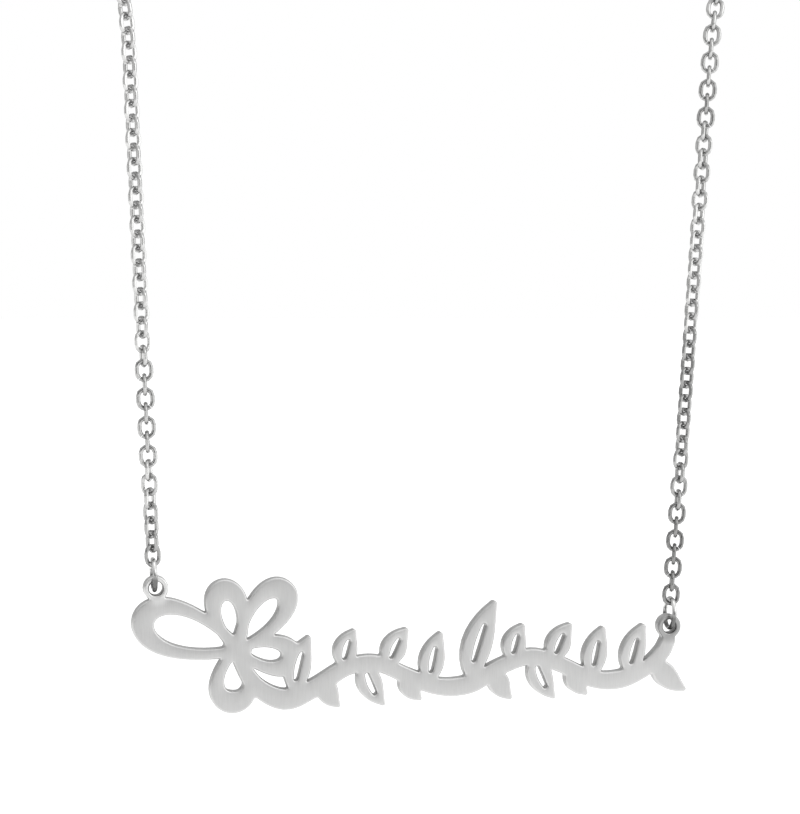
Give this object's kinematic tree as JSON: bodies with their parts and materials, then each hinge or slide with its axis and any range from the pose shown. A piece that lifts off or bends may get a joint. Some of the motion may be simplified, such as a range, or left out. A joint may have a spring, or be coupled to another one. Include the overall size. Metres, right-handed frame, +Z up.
{
  "type": "nameplate necklace",
  "caption": "Fine cable-chain necklace with a pierced plate of a blossom and leafy stem, hung by eyelets from jump rings and closed by a clasp at the nape.",
  "frame": {"origin": "middle of the neck opening, level with the chain at the nape", "axes": "+X to the right of a viewer who faces the wearer, +Y from the front strands back to the nape, +Z up"},
  "size_m": [0.0973, 0.1032, 0.1201],
  "materials": {
    "plate": "satin steel with fine vertical brushing",
    "chain": "bright drawn steel wire",
    "clasp": "polished steel"
  },
  "bodies": {
    "necklace": {"jump_ring_left": "chain", "jump_ring_right": "chain", "chain_left": "chain", "chain_right": "chain", "nape_chain_left": "chain", "nape_chain_right": "chain", "clasp_ring": "clasp", "clasp": "clasp", "end_ring": "clasp"},
    "nameplate": {"nameplate": "plate"}
  },
  "joints": [
    {"name": "plate_swing", "type": "hinge", "parent": "necklace", "child": "nameplate", "pos_m": [-0.0232, -0.052, -0.10602], "axis": [0.9948, 0, -0.1021], "range_deg": [-60, 60]}
  ]
}
